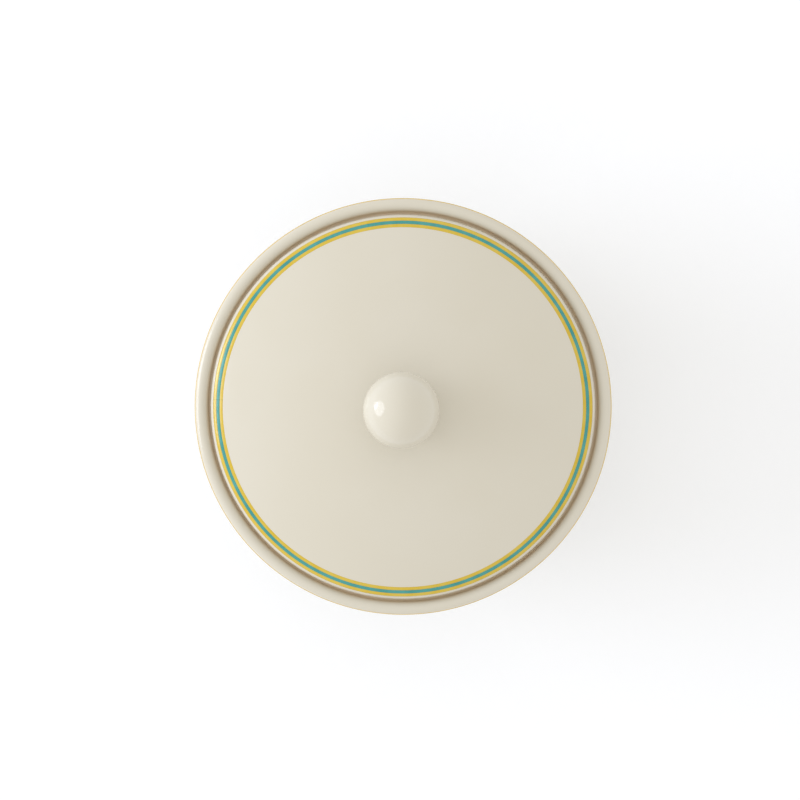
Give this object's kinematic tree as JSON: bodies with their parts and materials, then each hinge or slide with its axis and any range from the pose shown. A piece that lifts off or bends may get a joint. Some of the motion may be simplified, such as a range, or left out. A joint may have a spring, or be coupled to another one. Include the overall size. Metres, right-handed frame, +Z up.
{
  "type": "lidded rice bowl",
  "caption": "Round rice bowl on a foot ring with a drop-in domed lid, a ball knob and fired enamel lines round the lid and the lip.",
  "frame": {"origin": "centre of the foot ring, on the surface that the bowl stands on", "axes": "+Z up along the axis of turning, from the foot to the knob; X and Y are any two square directions"},
  "size_m": [0.115, 0.115, 0.0947],
  "materials": {
    "cream_glaze": "glossy cream glaze over porcelain",
    "yellow_enamel": "fired mustard yellow enamel, glossy",
    "teal_enamel": "fired teal enamel, glossy"
  },
  "bodies": {
    "bowl": {"bowl_body": "cream_glaze", "lip_line_yellow_upper": "yellow_enamel", "lip_line_teal": "teal_enamel", "lip_line_yellow_lower": "yellow_enamel"},
    "lid": {"lid_shell": "cream_glaze", "lid_knob": "cream_glaze", "lid_line_yellow_outer": "yellow_enamel", "lid_line_teal": "teal_enamel", "lid_line_yellow_inner": "yellow_enamel"}
  },
  "joints": [
    {"name": "lid_lift", "type": "slide", "parent": "bowl", "child": "lid", "axis": [0, 0, 1], "range_m": [0, 0.12]}
  ]
}
